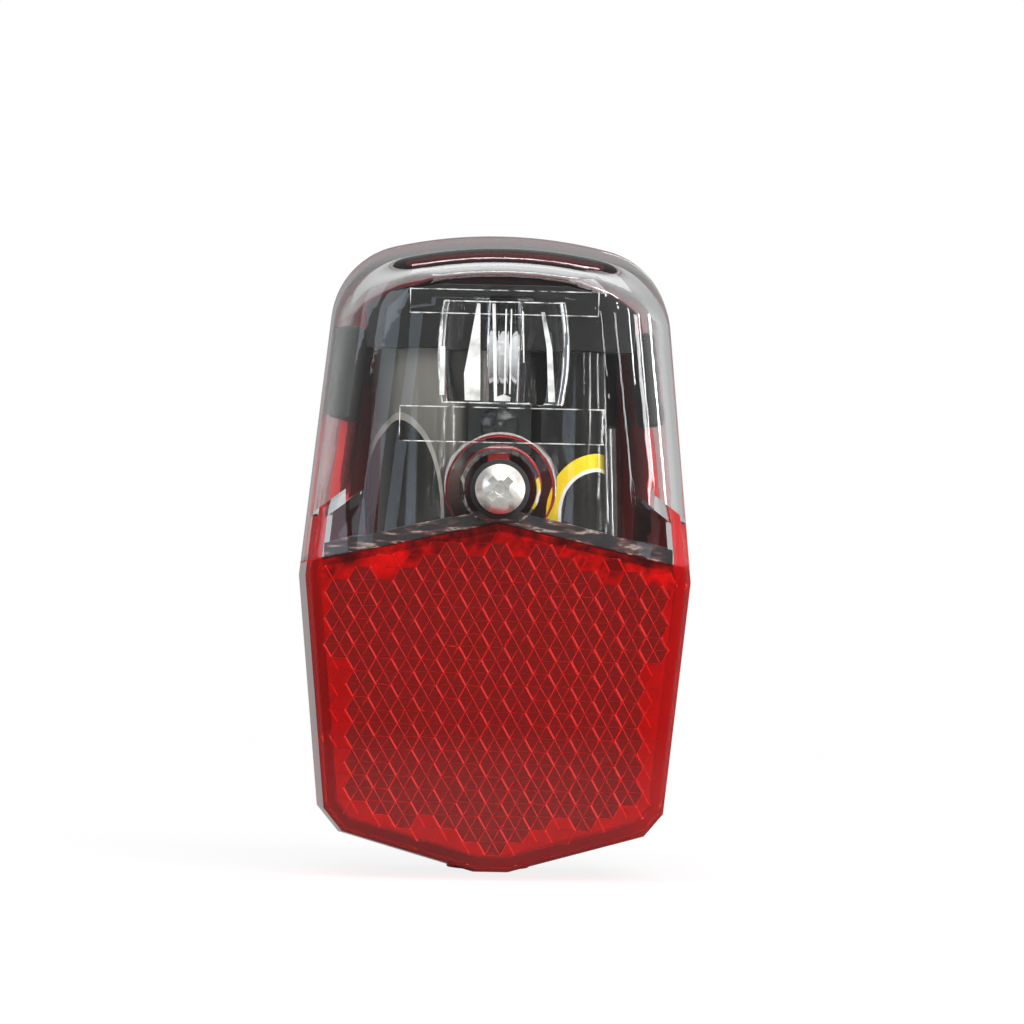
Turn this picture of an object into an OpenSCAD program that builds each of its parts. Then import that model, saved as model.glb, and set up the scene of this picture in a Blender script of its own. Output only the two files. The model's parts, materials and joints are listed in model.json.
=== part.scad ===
// Bike rear light for a mudguard: clear upper cover, red prism reflector below it, red back housing, two cells.
// Millimetres. X is right, Y is back to the mudguard, Z is up. The origin is the bolt hole in the rear pad.
// Depths run forward from the rear pad. Heights run up from the lowest point of the body.

/* [Cells] */
// Diameter of a cell
cell_d = 14.2; // [13.8:0.1:14.5]
// Length of a cell with its cap
cell_len = 50.5; // [49.5:0.1:51]
// Diameter of the positive cap
cap_d = 5.4; // [4.8:0.1:6]
// Height of the positive cap
cap_h = 1.2; // [1:0.1:1.6]
// Space between the two cells
cell_gap = 3.5; // [3.4:0.1:4.5]
// Space around a cell
cell_clear = 0.35; // [0.25:0.05:0.6]
// Height of a spring with a cell in place
spring_h = 3.5; // [3.2:0.1:4.5]
// Height of the lower contacts above the lowest point
contact_low = 10; // [9.6:0.1:12]

/* [Body] */
// Wall of the housing
wall = 1.8; // [1.5:0.1:2.4]
// Wall of the two covers
cover_wall = 1.6; // [1.4:0.1:2]
// Depth of the housing in front of the pad
housing_depth = 10.5; // [9.9:0.1:12]
// Rounding at the back of the housing
back_round = 2.7; // [2:0.1:3]
// Widening of each side from the shoulder down to the waist
flare = 3; // [2:0.1:4]
// Height of the waist
waist_h = 33; // [31:0.5:35]
// Narrowing of each side from the waist down to the bottom corner
base_taper = 2.8; // [1.5:0.1:3.5]
// Height of the bottom corners
corner_h = 4.9; // [4:0.1:5.6]
// Cut across each bottom corner
corner_cut = 1.3; // [0.8:0.1:2]
// Cut across the lowest point
tip_cut = 0.5; // [0.3:0.1:0.8]
// Room above the upper contacts
head_room = 7.6; // [7:0.1:9]
// Radius of the arched top
top_r = 52; // [45:1:60]
// Radius of the upper corners
top_corner_r = 9.2; // [8:0.1:9.4]
// Narrowing of the covers from the seam to the front
draft = 0.9; // [0.7:0.1:1.2]
// Narrowing of the cover at its top
top_draft = 2.8; // [2:0.1:3.2]
// Bevel round the reflector face
face_bevel = 0.6; // [0.3:0.1:0.9]
// Lean of the clear front
front_lean = 4; // [2:0.5:5]
// Radius of the rounding at the sides of the clear front
round_r = 7; // [5:0.5:8]
// Rounding at the top of the clear front
round_top = 2.2; // [1.8:0.1:2.6]
// Thickness of the locating lip
lip_t = 0.75; // [0.6:0.05:0.9]
// Height of the locating lip
lip_h = 2; // [1.4:0.1:2.4]
// Clearance at the locating lip
lip_fit = 0.15; // [0.1:0.05:0.25]
// Height of a side clip
tab_h = 10.5; // [8:0.5:12]
// Reach of a side clip in front of the seam
tab_reach = 6.5; // [5:0.5:7]
// Thickness of the black wall behind the upper contacts
shield_t = 1.2; // [1:0.1:1.4]
// Height of the shield that hangs from that wall in front of the contacts
shield_h = 7.2; // [6.6:0.1:7.6]
// Space beside the lamp and inside the outer edge of a cell, at the shield
shield_in = 0.95; // [0.8:0.05:1.2]
// Reach of the wall past the middle of a cell
shield_side = 4; // [3:0.1:4.4]
// Cut at the upper corners of the shield
shield_cut = 2.4; // [2:0.1:3]
// Thickness of a side clip
tab_t = 1.4; // [1:0.1:1.5]

/* [Seam and screw] */
// Height of the cover screw
screw_h = 42.9; // [42:0.1:44]
// Drop from the screw to the peak of the seam
peak_drop = 3.7; // [3.6:0.1:4.4]
// Slope of the seam
seam_slope = 12.6; // [10:0.2:14]
// Gap at the seam
seam_gap = 0.15; // [0.1:0.05:0.25]
// Diameter of the screw shank
screw_d = 2.9; // [2.6:0.1:3]
// Length under the screw head
screw_len = 6.5; // [6:0.1:6.7]
// Diameter of the screw head
screw_head_d = 5.5; // [5:0.1:5.8]
// Height of the screw head
screw_head_h = 2.1; // [1.8:0.1:2.3]
// Clearance round the screw
screw_fit = 0.1; // [0.05:0.05:0.15]
// Diameter of the washer
washer_d = 6.6; // [6:0.1:7]
// Thickness of the washer
washer_t = 0.5; // [0.4:0.1:0.7]
// Diameter of the screw pocket
pocket_d = 8; // [7.6:0.1:8.4]
// Depth of the screw pocket
pocket_deep = 3.2; // [3:0.1:3.4]
// Wall of the screw pocket
pocket_wall = 1.8; // [1.4:0.1:2]
// Floor of the screw pocket
pocket_floor = 1.2; // [1:0.1:1.5]
// Diameter of the screw boss
boss_d = 5.6; // [5.2:0.1:5.8]

/* [Reflector] */
// Side of a prism cell
prism_side = 1.65; // [1.6:0.05:1.8]
// Smooth border of the reflector
border = 0.9; // [0.8:0.1:1.4]
// Skin in front of the prisms
skin = 1.5; // [1.2:0.1:1.8]
// Thickness of the black backing
backing_t = 1.2; // [1:0.1:1.5]
// Rise of the backing above the seam
backing_rise = 1.8; // [1.2:0.1:2.4]

/* [Lamp] */
// Width of the circuit board
board_w = 7; // [6.6:0.1:7.4]
// Thickness of the circuit board
board_t = 1.2; // [1:0.1:1.6]
// Space between the screw boss and the board
board_clear = 1.3; // [1:0.1:1.6]
// Height of the lamp centre
led_h = 57.8; // [57:0.1:58.4]
// Diameter of the lamp
led_d = 4.8; // [4.4:0.1:5]
// Length of the lamp in front of the board
led_len = 4.8; // [4.4:0.1:5.2]
// Gap from lamp to lens block
led_gap = 0.5; // [0.4:0.1:0.8]
// Width of the lens block
lens_w = 14.4; // [13:0.2:15]
// Height of the lens block
lens_h = 11.3; // [10:0.1:11.6]
// Thickness of the lens block
lens_t = 2.2; // [2:0.1:2.6]

/* [Mount] */
// Thickness of the rear pad
pad_t = 3.5; // [3:0.1:5]
// Width of the rear pad
pad_w = 20; // [17:0.5:22]
// Height of the rear pad
pad_h = 30; // [24:1:34]
// Height of the bolt above the lowest point
mount_h = 36; // [33:0.5:38]
// Diameter of the threaded insert
insert_d = 6.6; // [6.2:0.1:6.8]
// Length of the threaded insert
insert_len = 5.6; // [5:0.1:5.8]
// Wall of the boss round the insert
insert_wall = 0.8; // [0.6:0.1:1]
// Bore of the threaded insert, M5 before threading
insert_bore = 4.2; // [4:0.1:4.5]
// Radius of the saddle across the pad
saddle_r = 40; // [30:1:60]

/* [Switch] */
// Side of the switch
switch_w = 7; // [6.6:0.1:7.2]
// Height of the switch
switch_h = 4.4; // [4.2:0.1:4.6]
// Diameter of the button
button_d = 5.9; // [5.5:0.1:6.1]
// Clearance round the button
button_fit = 0.15; // [0.1:0.05:0.25]
// Travel of the button
button_travel = 1; // [0.6:0.1:1.1]
// Diameter of the plunger
plunger_d = 2.4; // [2:0.1:2.6]

/* [Hidden] */
$fn = 48;
part_red = [0.62, 0.03, 0.04];
metal = [0.75, 0.74, 0.72];
cell_r = cell_d / 2;
cell_x = cell_r + cell_gap / 2;
back_in = pad_t + wall;
cell_depth = back_in + cell_clear + cell_r;
cell_front = cell_depth + cell_r;
seam = pad_t + housing_depth;
contact_t = 0.4;
contact_top = contact_low + cell_len + spring_h;
body_h = contact_top + head_room;
board_fit = 0.25;
board_back = cell_depth + sqrt(cell_r * cell_r - pow(cell_x - board_w / 2 - board_fit, 2));
board_front = board_back + board_t;
lens_back = board_front + led_len + led_gap;
dome_depth = lens_back + lens_t + cover_wall;
boss_r = boss_d / 2;
board_low = screw_h + boss_r + board_clear;
shield_back = cell_front + board_fit;
blob_room = led_h - (led_d + 1) / 2 - board_low;
blob_r = 0.28 * blob_room;
boss_root = cell_depth + sqrt(cell_r * cell_r - pow(cell_x - boss_r - board_fit, 2));
screw_front = dome_depth - (led_h - screw_h) * tan(front_lean);
floor_front = screw_front - pocket_deep;
boss_front = floor_front - pocket_floor;
lip_draft = 2 * draft * lip_h / (dome_depth - seam);
lip_rise = (top_draft - draft) * lip_h / (dome_depth - seam);
lip_in = cover_wall + lip_draft + lip_fit;
tab_in = cover_wall + draft * (tab_reach + 1) / (dome_depth - seam) + lip_fit;
shoulder_w = cell_x + cell_r + cell_clear + lip_t + lip_in;
shoulder_h = contact_top - 2.2;
waist_w = shoulder_w + flare;
corner_w = waist_w - base_taper;
peak_h = screw_h - peak_drop;
side_a = atan(flare / (shoulder_h - waist_h));
side_c = waist_w * cos(side_a) + waist_h * sin(side_a);
low_a = -atan(base_taper / (waist_h - corner_h));
low_c = waist_w * cos(low_a) + waist_h * sin(low_a);
vee = atan((corner_h + tip_cut) / corner_w);
vee_a = vee - 90;
vee_c = corner_w * cos(vee_a) + corner_h * sin(vee_a);
cut_a = (low_a + vee_a) / 2;
cut_c = corner_w * cos(cut_a) + corner_h * sin(cut_a) - corner_cut;
top_z = body_h - top_r;
backing_back = cell_front + 0.55;
backing_front = backing_back + backing_t;
prism_step = prism_side * sqrt(2) / 2;
prism_tip = backing_front + 0.5;
prism_foot = prism_tip + 2 * prism_step;
face = prism_foot + skin;
lip_back = backing_front + 0.3;
button_depth = back_in + switch_w / 2;
button_floor = 2.2;
button_flange = 0.8;
switch_low = button_floor + button_flange + button_travel + 0.6;
switch_top = switch_low + switch_h;
saddle_drop = saddle_r - sqrt(saddle_r * saddle_r - 49);
wire_r = 0.35;
spring_turns = 3;
spring_steps = 12;
spring_pts = [
    for (i = [0 : spring_turns * spring_steps])
        let (t = i / (spring_turns * spring_steps), r = 4.3 - 2.2 * t, a = 360 * spring_turns * t)
            [r * cos(a), r * sin(a), wire_r + (spring_h - 2 * wire_r) * t]
];
spring_gap = min([
    for (i = [0 : len(spring_pts) - 1], j = [0 : len(spring_pts) - 1])
        if (j - i >= spring_steps - 3) norm(spring_pts[i] - spring_pts[j]) - 2 * wire_r
]);
echo(least_spring_gap = spring_gap);

function meet(a, c, b, d) = [
    (c * sin(b) - d * sin(a)) / sin(b - a),
    (d * cos(a) - c * cos(b)) / sin(b - a)
];
function corner_round(side, top) = max(top_corner_r - min(side, top), 1);
function corner_at(side, top) =
    let (
        r = corner_round(side, top),
        p = side_c - side - r,
        t = top_z * cos(side_a) + sqrt(pow(top_r - top - r, 2) - pow(p - top_z * sin(side_a), 2))
    )
    [p * cos(side_a) - t * sin(side_a), p * sin(side_a) + t * cos(side_a)];
function crown(side, top) =
    let (
        c = corner_at(side, top),
        r = corner_round(side, top),
        b = atan2(c[1] - top_z, c[0])
    )
    concat(
        [for (k = [0 : 7]) let (a = 90 + (b - 90) * k / 8) [0, top_z] + (top_r - top) * [cos(a), sin(a)]],
        [for (k = [0 : 8]) let (a = b + (side_a - b) * k / 8) c + r * [cos(a), sin(a)]]
    );
function side_x(side, z) = (side_c - side - z * sin(side_a)) / cos(side_a);
function both(half) = concat(
    half,
    [for (k = [len(half) - 1 : -1 : 1]) [-half[k][0], half[k][1]]]
);
function outline(d, more = 0) = both(concat(crown(d, d + more), [
    meet(side_a, side_c - d, low_a, low_c - d),
    meet(low_a, low_c - d, cut_a, cut_c - d),
    meet(cut_a, cut_c - d, vee_a, vee_c - d),
    meet(vee_a, vee_c - d, -90, -d)
]));
function ring(points, depth) = [for (p = points) [p[0], -depth, p[1]]];
function cover_ring(side, top, depth) = ring(
    both(concat(crown(side, top), [[side_x(side, waist_h - 4), waist_h - 4]])),
    depth
);
function seam_z(x, up) = peak_h + seam_gap + up - x * tan(seam_slope);
function crown_r(d, depth) = top_r + 0.12 - d - top_draft * (depth - seam) / (dome_depth - seam);

module slab(from, to) {
    translate([0, -from, 0])
        rotate([90, 0, 0])
            linear_extrude(to - from)
                children();
}

module forward(x, depth, z) {
    translate([x, -depth, z])
        rotate([90, 0, 0])
            children();
}

module loft(rings) {
    n = len(rings[0]);
    m = len(rings);
    polyhedron(
        points = [for (r = rings) each r],
        faces = concat(
            [[for (i = [n - 1 : -1 : 0]) i]],
            [[for (i = [0 : n - 1]) (m - 1) * n + i]],
            [
                for (k = [0 : m - 2], i = [0 : n - 1], s = [0, 1])
                    let (a = k * n, b = a + n, j = (i + 1) % n)
                        s == 0 ? [a + i, a + j, b + j] : [a + i, b + j, b + i]
            ]
        )
    );
}

module cover_form(d) {
    ahead = dome_depth + 3;
    part = (ahead - seam) / (dome_depth - seam);
    intersection() {
        loft([
            cover_ring(d, d, seam - (d > 0 ? 1 : 0)),
            cover_ring(d + draft * part, d + top_draft * part, ahead)
        ]);
        cover_top(d);
        cover_side(d);
        mirror([1, 0, 0])
            cover_side(d);
    }
}

module cover_top(d) {
    r = round_top - d / 2;
    front = dome_depth - d + (body_h - top_draft - 4 - led_h) * tan(front_lean);
    wide = crown_r(d, front - r);
    forward(0, 0, top_z)
        rotate_extrude($fn = 96) {
            polygon([[0, seam - 2], [crown_r(d, seam - 2), seam - 2], [wide, front - r], [0, front - r]]);
            polygon([[0, front - r - 1], [wide - r, front - r - 1], [wide - r, front], [0, front]]);
            intersection() {
                translate([wide - r, front - r])
                    circle(r);
                translate([wide - 2 * r, front - r])
                    square(2 * r);
            }
        }
}

module cover_side(d) {
    r = round_r - d;
    front = dome_depth - d;
    x = side_x(d + draft * 0.5, led_h) + 0.25 - r;
    translate([0, -dome_depth, led_h])
        rotate([front_lean, 0, 0])
            translate([x, dome_depth, 0])
                rotate([0, -side_a, 0])
                    translate([0, 0, -40])
                        linear_extrude(70) {
                            translate([-80, -front])
                                square([80, 80]);
                            translate([-1, r - front])
                                square([r + 8, 80]);
                            translate([0, r - front])
                                circle(r);
                        }
}

module cover_shoulder(d) {
    intersection() {
        loft([
            ring(outline(0.5 + d), lip_back - 4),
            ring(outline(draft + d), face - face_bevel - d),
            ring(outline(draft + face_bevel + d), face - d)
        ]);
        slab(10, 45)
            polygon([
                [-40, 0],
                [40, 0],
                [40, peak_h - 14 - d],
                [14.5, peak_h + 5.2 - d],
                [-14.5, peak_h + 5.2 - d],
                [-40, peak_h - 14 - d]
            ]);
    }
}

module seam_prism(shift, up) {
    far = 40;
    drop = far * tan(seam_slope);
    slab(5, 45)
        polygon([
            [-far, peak_h + shift - drop],
            [0, peak_h + shift],
            [far, peak_h + shift - drop],
            [far, up ? 100 : -20],
            [-far, up ? 100 : -20]
        ]);
}

module housing() {
    color(part_red)
        difference() {
            union() {
                difference() {
                    loft([
                        for (a = [0 : 18 : 90])
                            ring(outline(0.5 + back_round * (1 - sin(a))), pad_t + back_round * (1 - cos(a))),
                        ring(outline(0), seam)
                    ]);
                    loft([
                        ring(outline(wall + 1.6), back_in),
                        ring(outline(wall + 0.5), back_in + 1.1),
                        ring(outline(wall), seam + 1)
                    ]);
                }
                housing_pad();
                housing_lip();
                housing_ribs();
                housing_button_boss();
            }
            translate([0, saddle_r - saddle_drop, mount_h])
                cylinder(r = saddle_r, h = pad_h + 10, center = true, $fn = 96);
            forward(0, -1, mount_h)
                cylinder(d = insert_d, h = saddle_drop + insert_len + 1);
            forward(0, boss_root, screw_h)
                cylinder(d = screw_d + 2 * screw_fit, h = 20);
            translate([0, -button_depth, -1])
                cylinder(d = button_d + 2 * button_fit, h = 8);
            translate([0, -button_depth, button_floor])
                cylinder(d = button_d + 2 * button_fit + 2.6, h = switch_low - button_floor + 0.3);
        }
}

module housing_pad() {
    r = 3;
    slab(0, pad_t + 0.6)
        union() {
            translate([-pad_w / 2 + r, mount_h - pad_h / 2])
                square([pad_w - 2 * r, pad_h]);
            translate([-pad_w / 2, mount_h - pad_h / 2 + r])
                square([pad_w, pad_h - 2 * r]);
            for (x = [-1, 1], z = [-1, 1])
                translate([x * (pad_w / 2 - r), mount_h + z * (pad_h / 2 - r)])
                    circle(r);
        }
    forward(0, pad_t, mount_h)
        cylinder(d = insert_d + 2 * insert_wall, h = saddle_drop + insert_len + insert_wall - pad_t);
}

module housing_lip() {
    slab(seam - 2.4, seam)
        difference() {
            polygon(outline(1));
            polygon(outline(lip_in + lip_t, lip_rise));
        }
    slab(seam - 0.4, seam + lip_h)
        difference() {
            polygon(outline(lip_in, lip_rise));
            polygon(outline(lip_in + lip_t, lip_rise));
        }
}

module housing_ribs() {
    rib = cell_gap - 1.1;
    slab(back_in - 0.3, board_back)
        translate([-rib / 2, contact_low + 2])
            square([rib, contact_top - contact_low - 2.1]);
    forward(0, boss_root, screw_h)
        cylinder(r = boss_r, h = boss_front - boss_root);
    for (s = [0, 1])
        mirror([s, 0, 0])
            slab(back_in - 0.3, cell_depth + 3.8)
                translate([switch_w / 2 + 0.1, contact_low - contact_t - 1.2])
                    square([side_x(lip_in + 3.6, waist_h) - switch_w / 2, 1.2]);
}

module housing_button_boss() {
    translate([0, -button_depth, 0.2])
        cylinder(d = button_d + 3.4, h = button_floor + 0.6);
}

module side_clip(s) {
    color([0.05, 0.05, 0.05])
        slab(seam + lip_h, seam + tab_reach)
            polygon([
                for (k = [[0, tab_in], [1, tab_in], [1, tab_in + tab_t], [0, tab_in + tab_t]])
                    let (z = shoulder_h - 1 - tab_h * k[0]) [s * side_x(k[1], z), z]
            ]);
}

module contact_wall() {
    low = contact_top + contact_t;
    top = low + shield_t;
    half = cell_x + cell_r - shield_in;
    color([0.05, 0.05, 0.05]) {
        slab(back_in, shield_back + shield_t)
            translate([-cell_x - shield_side, low])
                square([2 * (cell_x + shield_side), shield_t]);
        for (s = [0, 1])
            mirror([s, 0, 0])
                slab(shield_back, shield_back + shield_t)
                    polygon([
                        [led_d / 2 + shield_in, top - shield_h],
                        [half, top - shield_h],
                        [half, top - shield_cut],
                        [half - shield_cut, top],
                        [led_d / 2 + shield_in, top]
                    ]);
    }
}

module mount_insert() {
    color([0.78, 0.6, 0.25])
        forward(0, saddle_drop, mount_h)
            difference() {
                cylinder(d = insert_d, h = insert_len);
                translate([0, 0, -1])
                    cylinder(d = insert_bore, h = insert_len + 0.2);
                for (z = [2, 4.4])
                    translate([0, 0, z])
                        difference() {
                            cylinder(d = insert_d + 1, h = 0.7);
                            translate([0, 0, -1])
                                cylinder(d = insert_d - 0.5, h = 3);
                        }
            }
}

module clear_cover() {
    color([0.86, 0.88, 0.9, 0.35])
        difference() {
            union() {
                intersection() {
                    union() {
                        difference() {
                            union() {
                                cover_form(0);
                                cover_shoulder(0);
                            }
                            cover_form(cover_wall);
                            cover_shoulder(cover_wall);
                        }
                        cover_lip();
                        slab(boss_front, screw_front - 0.6)
                            translate([0, screw_h])
                                circle(pocket_d / 2 + pocket_wall);
                    }
                    seam_prism(seam_gap, true);
                }
                lens_block();
                cover_pads();
            }
            slab(floor_front, 45) {
                translate([0, screw_h])
                    circle(d = pocket_d);
                translate([-2.1, screw_h - 10])
                    square([4.2, 10]);
            }
            forward(0, boss_front - 1, screw_h)
                cylinder(d = screw_d + 2 * screw_fit, h = 10);
        }
}

module cover_lip() {
    x = side_x(cover_wall + draft + 0.2, waist_h + 2);
    difference() {
        slab(lip_back, face - 0.5)
            polygon([
                [-x, seam_z(x, -1)],
                [0, seam_z(0, -1)],
                [x, seam_z(x, -1)],
                [x, seam_z(x, 1.5)],
                [0, seam_z(0, 1.5)],
                [-x, seam_z(x, 1.5)]
            ]);
        forward(0, lip_back - 1, screw_h)
            cylinder(r = boss_r + 0.3, h = 3);
    }
}

module lens_block() {
    lobe = lens_w / 4;
    translate([0, 0, led_h - lens_h / 2])
        linear_extrude(lens_h)
            intersection() {
                translate([-lens_w / 2, -lens_back - lens_t - 0.6])
                    square([lens_w, lens_t + 0.6]);
                union() {
                    translate([-lens_w / 2, -lens_back - lens_t - 1])
                        square([lens_w, lens_t - 0.2]);
                    for (s = [-1, 1])
                        translate([s * (lobe + 0.5), -lens_back - lobe])
                            circle(lobe);
                    for (x = [-1.1, 0, 1.1])
                        translate([x, -lens_back - 1.2])
                            circle(0.75);
                }
            }
}

module cover_pads() {
    for (p = [[10.3, contact_top - 2, 2.6], [11.2, led_h - 9.8, 3.8]])
        translate([0, -dome_depth, led_h])
            rotate([front_lean, 0, 0])
                translate([-p[0], cover_wall - 0.5, p[1] - led_h])
                    cube([2 * p[0], 0.85, p[2]]);
}

module cover_screw() {
    color(metal)
        forward(0, floor_front + washer_t, screw_h)
            difference() {
                union() {
                    cylinder(d = screw_head_d, h = screw_head_h - 1.3);
                    intersection() {
                        cylinder(d = screw_head_d, h = screw_head_h);
                        translate([0, 0, screw_head_h - 3.56])
                            sphere(3.56);
                    }
                    translate([0, 0, 1.2 - screw_len])
                        cylinder(d = screw_d, h = screw_len - 1);
                    translate([0, 0, -screw_len])
                        cylinder(d1 = screw_d - 1.2, d2 = screw_d, h = 1.3);
                }
                for (a = [45, 135])
                    rotate(a)
                        translate([-1.6, -0.42, screw_head_h - 1.15])
                            cube([3.2, 0.84, 2]);
                translate([0, 0, screw_head_h - 1.5])
                    cylinder(d1 = 1.1, d2 = 2, h = 1.6);
            }
}

module screw_washer() {
    color([0.08, 0.08, 0.08])
        forward(0, floor_front, screw_h)
            difference() {
                cylinder(d = washer_d, h = washer_t);
                translate([0, 0, -1])
                    cylinder(d = screw_d + 2 * screw_fit, h = 3);
            }
}

function room(p) = let (x = abs(p[0]), z = p[1]) min(
    side_c - x * cos(side_a) - z * sin(side_a),
    low_c - x * cos(low_a) - z * sin(low_a),
    cut_c - x * cos(cut_a) - z * sin(cut_a),
    vee_c - x * cos(vee_a) - z * sin(vee_a),
    z,
    (peak_h - x * tan(seam_slope) - z) * cos(seam_slope) + draft + face_bevel
);
function hex_at(c, k) = c + prism_side * [cos(60 * k), sin(60 * k)];
function whole(c) = min([for (k = [0 : 5]) room(hex_at(c, k))]) >= border + draft + face_bevel - 0.1;
function beside(c, k) = c + prism_side * sqrt(3) * [cos(60 * k + 30), sin(60 * k + 30)];
prism_cells = [
    for (i = [-8 : 8], j = [0 : 14])
        let (c = [1.5 * prism_side * i, prism_side * sqrt(3) * (j + (i % 2 == 0 ? 0 : 0.5)) + 1.2])
            if (whole(c)) c
];

module prisms() {
    low = prism_foot + 0.4;
    polyhedron(
        points = [
            for (c = prism_cells)
                each concat(
                    [[c[0], -prism_tip, c[1]]],
                    [
                        for (k = [0 : 5])
                            let (p = hex_at(c, k)) [p[0], -prism_tip - prism_step * (1 + k % 2), p[1]]
                    ],
                    [for (k = [0 : 5]) let (p = hex_at(c, k)) [p[0], -low, p[1]]]
                )
        ],
        faces = [
            for (n = [0 : len(prism_cells) - 1])
                let (b = n * 13)
                    each concat(
                        [
                            for (k = [0, 2, 4], s = [0, 1])
                                s == 0
                                    ? [b, b + 1 + k, b + 2 + k]
                                    : [b, b + 2 + k, b + 1 + (k + 2) % 6]
                        ],
                        [[for (k = [5 : -1 : 0]) b + 7 + k]],
                        [
                            for (k = [0 : 5], s = [0, 1])
                                let (m = (k + 1) % 6)
                                    if (!whole(beside(prism_cells[n], k)))
                                        s == 0
                                            ? [b + 1 + k, b + 7 + k, b + 7 + m]
                                            : [b + 1 + k, b + 7 + m, b + 1 + m]
                        ]
                    )
        ]
    );
}

module reflector() {
    color([0.72, 0.02, 0.03, 0.85])
        union() {
            difference() {
                intersection() {
                    loft([
                        ring(outline(0), seam),
                        ring(outline(draft), face - face_bevel),
                        ring(outline(draft + face_bevel), face)
                    ]);
                    seam_prism(0, false);
                }
                loft([
                    ring(outline(cover_wall - 0.05), seam - 1),
                    ring(outline(cover_wall + draft * (backing_front - seam) / (face - seam)), backing_front)
                ]);
                intersection() {
                    slab(backing_front - 1, prism_foot)
                        polygon(outline(draft + face_bevel + border));
                    seam_prism(-border / cos(seam_slope), false);
                }
            }
            prisms();
        }
}

module reflector_backing() {
    side = cover_wall + draft * (backing_front - seam) / (face - seam) + 0.25;
    color([0.05, 0.05, 0.05])
        difference() {
            intersection() {
                slab(backing_back, backing_front)
                    polygon(outline(side));
                seam_prism(backing_rise, false);
            }
            forward(0, backing_back - 1, screw_h)
                cylinder(r = boss_r + 0.3, h = 5);
        }
}

module cell_jacket() {
    len = cell_len - cap_h;
    difference() {
        union() {
            translate([0, 0, 0.5])
                cylinder(r = cell_r, h = len - 1);
            cylinder(r1 = cell_r - 0.5, r2 = cell_r, h = 0.5);
            translate([0, 0, len - 0.5])
                cylinder(r1 = cell_r, r2 = cell_r - 0.5, h = 0.5);
        }
        translate([0, 0, -1])
            cylinder(r = cell_r - 1.2, h = 1.4);
        translate([0, 0, len - 0.4])
            cylinder(r = cell_r - 1.2, h = 1.4);
    }
}

module cell_cap() {
    len = cell_len - cap_h;
    translate([0, 0, len - 0.4])
        cylinder(r = cell_r - 1.2, h = 0.4);
    translate([0, 0, len - 0.2])
        cylinder(d = cap_d, h = cap_h + 0.2);
}

module cell_base() {
    cylinder(r = cell_r - 1.2, h = 0.4);
}

module at_left_cell() {
    translate([-cell_x, -cell_depth, contact_low + spring_h])
        children();
}

module at_right_cell() {
    translate([cell_x, -cell_depth, contact_low + cell_len])
        rotate([180, 0, 0])
            children();
}

module left_cell_jacket() {
    color([0.04, 0.04, 0.045])
        at_left_cell()
            cell_jacket();
}

module left_cell_cap() {
    color(metal)
        at_left_cell()
            cell_cap();
}

module left_cell_base() {
    color(metal)
        at_left_cell()
            cell_base();
}

module right_cell_jacket() {
    color([0.04, 0.04, 0.045])
        at_right_cell()
            cell_jacket();
}

module right_cell_cap() {
    color(metal)
        at_right_cell()
            cell_cap();
}

module right_cell_base() {
    color(metal)
        at_right_cell()
            cell_base();
}

module circuit_board() {
    color([0.03, 0.06, 0.04])
        difference() {
            slab(board_back, board_front)
                translate([-board_w / 2, board_low])
                    square([board_w, contact_top - board_low]);
            for (x = [-1.27, 1.27])
                forward(x, board_back - 1, led_h)
                    cylinder(d = 0.9, h = 4);
        }
}

module led_body() {
    color([0.9, 0.9, 0.92, 0.5])
        forward(0, board_front, led_h) {
            cylinder(d = led_d + 1, h = 1);
            cylinder(d = led_d, h = led_len - 1.6);
            intersection() {
                cylinder(d = led_d, h = led_len);
                translate([0, 0, led_len - 2.6])
                    sphere(2.6);
            }
        }
}

module led_legs() {
    color(metal)
        for (x = [-1.27, 1.27])
            forward(x, board_back + 0.1, led_h)
                cylinder(d = 0.6, h = board_t - 0.1);
}

module resistor() {
    color([0.1, 0.1, 0.11])
        slab(board_front, board_front + 0.55)
            translate([-1.6, contact_top - 2.4])
                square([3.2, 1.6]);
}

module chip_blob() {
    color([0.02, 0.02, 0.02])
        intersection() {
            forward(0, board_front, board_low + 0.4 * blob_room)
                cylinder(r = blob_r, h = blob_r);
            forward(0, board_front - 0.73 * blob_r, board_low + 0.4 * blob_room)
                sphere(1.24 * blob_r);
        }
}

module contact_plate(reach_to, reach_from) {
    translate([cell_x - 4, -cell_depth - 4, 0])
        cube([8, 8, contact_t]);
    translate([reach_to, -reach_from - 3, 0])
        cube([cell_x - 3 - reach_to, 3, contact_t]);
}

module top_positive_contact() {
    color(metal)
        translate([0, 0, contact_top])
            mirror([1, 0, 0])
                contact_plate(1.5, board_front - 3);
}

module top_negative_contact() {
    color(metal)
        translate([0, 0, contact_top])
            contact_plate(1.5, board_front - 3);
}

module bottom_positive_contact() {
    color(metal)
        translate([0, 0, contact_low - contact_t])
            contact_plate(1.4, button_depth);
}

module bottom_negative_contact() {
    color(metal)
        translate([0, 0, contact_low - contact_t])
            mirror([1, 0, 0])
                contact_plate(1.4, button_depth);
}

module spring() {
    sides = 6;
    n = len(spring_pts);
    polyhedron(
        points = [
            for (i = [0 : n - 1], k = [0 : sides - 1])
                let (
                    p = spring_pts[i],
                    out = [p[0], p[1], 0] / norm([p[0], p[1]]),
                    a = 360 * k / sides
                )
                    p + wire_r * (cos(a) * out + [0, 0, sin(a)])
        ],
        faces = concat(
            [[for (k = [0 : sides - 1]) k]],
            [[for (k = [sides - 1 : -1 : 0]) (n - 1) * sides + k]],
            [
                for (i = [0 : n - 2], k = [0 : sides - 1], s = [0, 1])
                    let (a = i * sides, b = a + sides, m = (k + 1) % sides)
                        s == 0 ? [a + k, b + k, b + m] : [a + k, b + m, a + m]
            ]
        )
    );
}

module top_spring() {
    color(metal)
        translate([cell_x, -cell_depth, contact_top])
            rotate([180, 0, 0])
                spring();
}

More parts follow.
